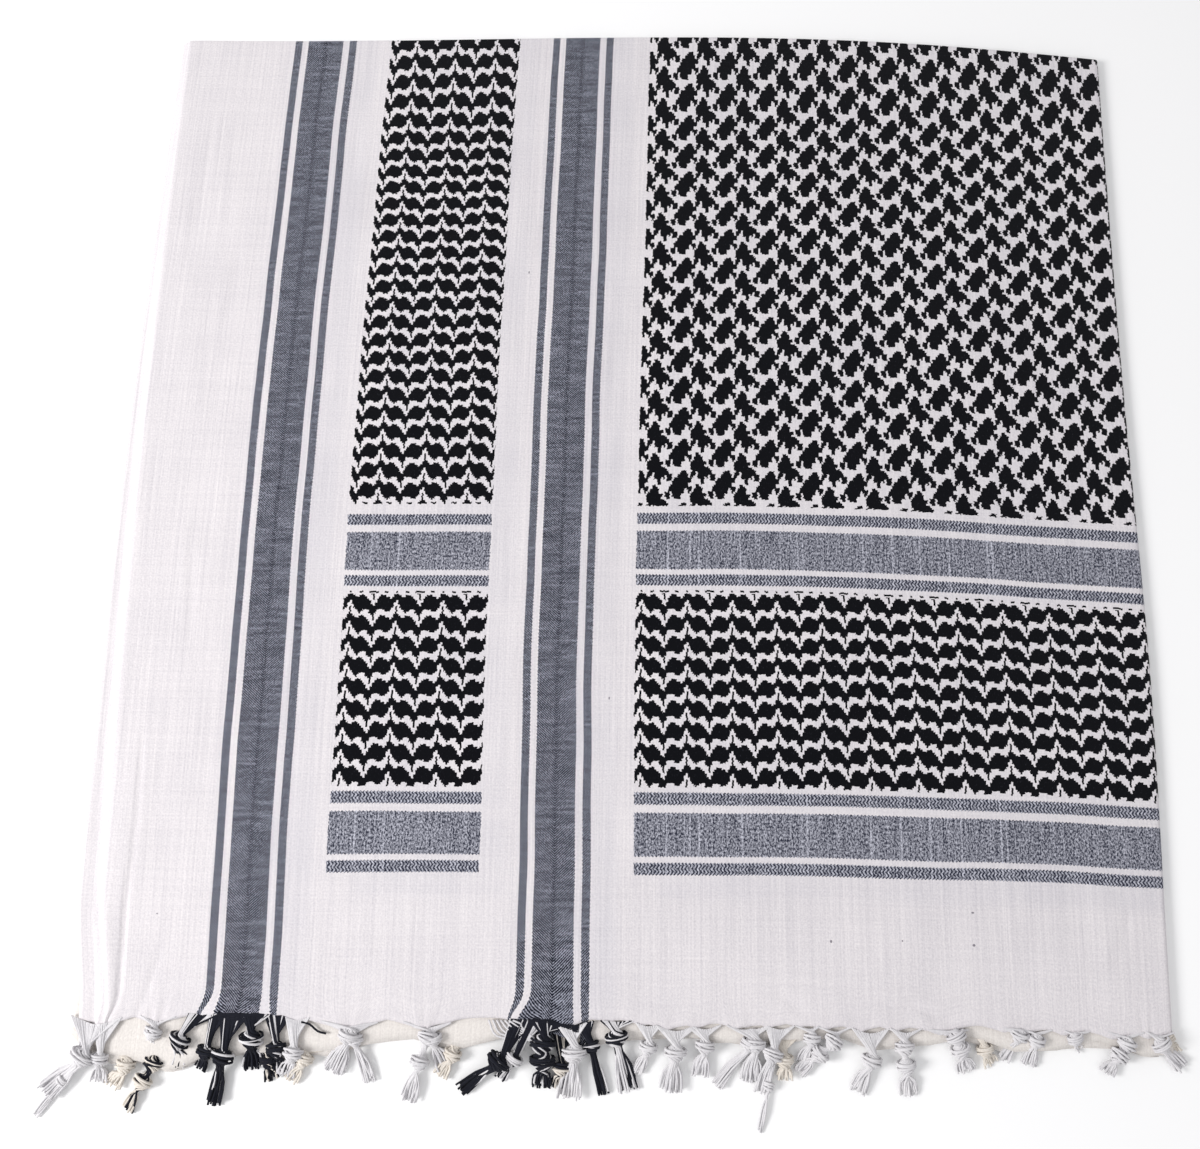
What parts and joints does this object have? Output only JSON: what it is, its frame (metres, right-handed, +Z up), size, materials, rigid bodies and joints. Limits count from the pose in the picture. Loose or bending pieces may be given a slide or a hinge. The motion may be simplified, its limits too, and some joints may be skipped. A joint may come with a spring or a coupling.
{
  "type": "folded keffiyeh headscarf",
  "caption": "Square cotton headscarf with a woven net and leaf pattern and knotted fringe, folded twice into a flat quarter, hem towards -Y.",
  "frame": {"origin": "middle of the bounding box, on the surface that the folded scarf lies on", "axes": "+Z up from the surface, +Y from the fringed hem to the top fold, +X from the selvedge edge to the right fold"},
  "size_m": [0.5498, 0.593, 0.006],
  "materials": {
    "cotton": "matt woven cotton, white with a black woven pattern",
    "fringe": "matt knotted cotton thread, cream and black"
  },
  "bodies": {
    "root": {"cloth_front": "cotton", "cloth_folded": "cotton", "fringe_front": "fringe", "fringe_under": "fringe"}
  },
  "joints": []
}
